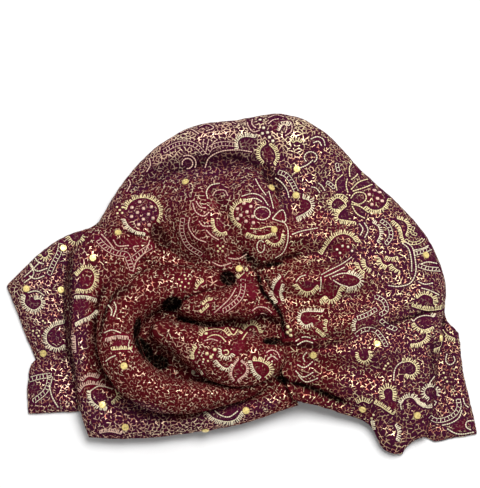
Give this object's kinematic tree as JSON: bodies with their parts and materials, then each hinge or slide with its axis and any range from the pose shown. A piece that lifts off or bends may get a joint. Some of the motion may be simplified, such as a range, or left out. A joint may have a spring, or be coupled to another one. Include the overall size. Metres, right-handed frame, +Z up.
{
  "type": "turban hat",
  "caption": "Soft brocade turban hat lying on its back, with a gathered crown, a folded brow band and a padded cloth rosette; the head hollow stays open.",
  "frame": {"origin": "middle of the hat's box, on the surface that it lies on", "axes": "+X across the hat, from the wing to the right brim; +Y from the opening to the crown; +Z up, out of the back panel's flat underside"},
  "size_m": [0.2824, 0.2076, 0.0463],
  "materials": {
    "plum_brocade": "woven, with a raised gold net",
    "crimson_brocade": "woven, with a raised gold net",
    "gold_foil": "polished"
  },
  "bodies": {
    "root": {"back_panel": "plum_brocade", "brow_band_left": "plum_brocade", "brow_band_right": "plum_brocade", "crown": "plum_brocade", "foil_stud_01": "gold_foil", "foil_stud_02": "gold_foil", "foil_stud_03": "gold_foil", "foil_stud_04": "gold_foil", "foil_stud_05": "gold_foil", "foil_stud_06": "gold_foil", "foil_stud_07": "gold_foil", "foil_stud_08": "gold_foil", "foil_stud_09": "gold_foil", "foil_stud_10": "gold_foil", "foil_stud_11": "gold_foil", "foil_stud_12": "gold_foil", "foil_stud_13": "gold_foil", "foil_stud_14": "gold_foil", "foil_stud_15": "gold_foil", "foil_stud_16": "gold_foil", "foil_stud_17": "gold_foil", "foil_stud_18": "gold_foil", "foil_stud_19": "gold_foil", "foil_stud_20": "gold_foil", "foil_stud_21": "gold_foil", "foil_stud_22": "gold_foil", "foil_stud_23": "gold_foil", "rosette_lower_fold": "crimson_brocade", "rosette_roll": "crimson_brocade", "rosette_upper_fold": "crimson_brocade"}
  },
  "joints": []
}
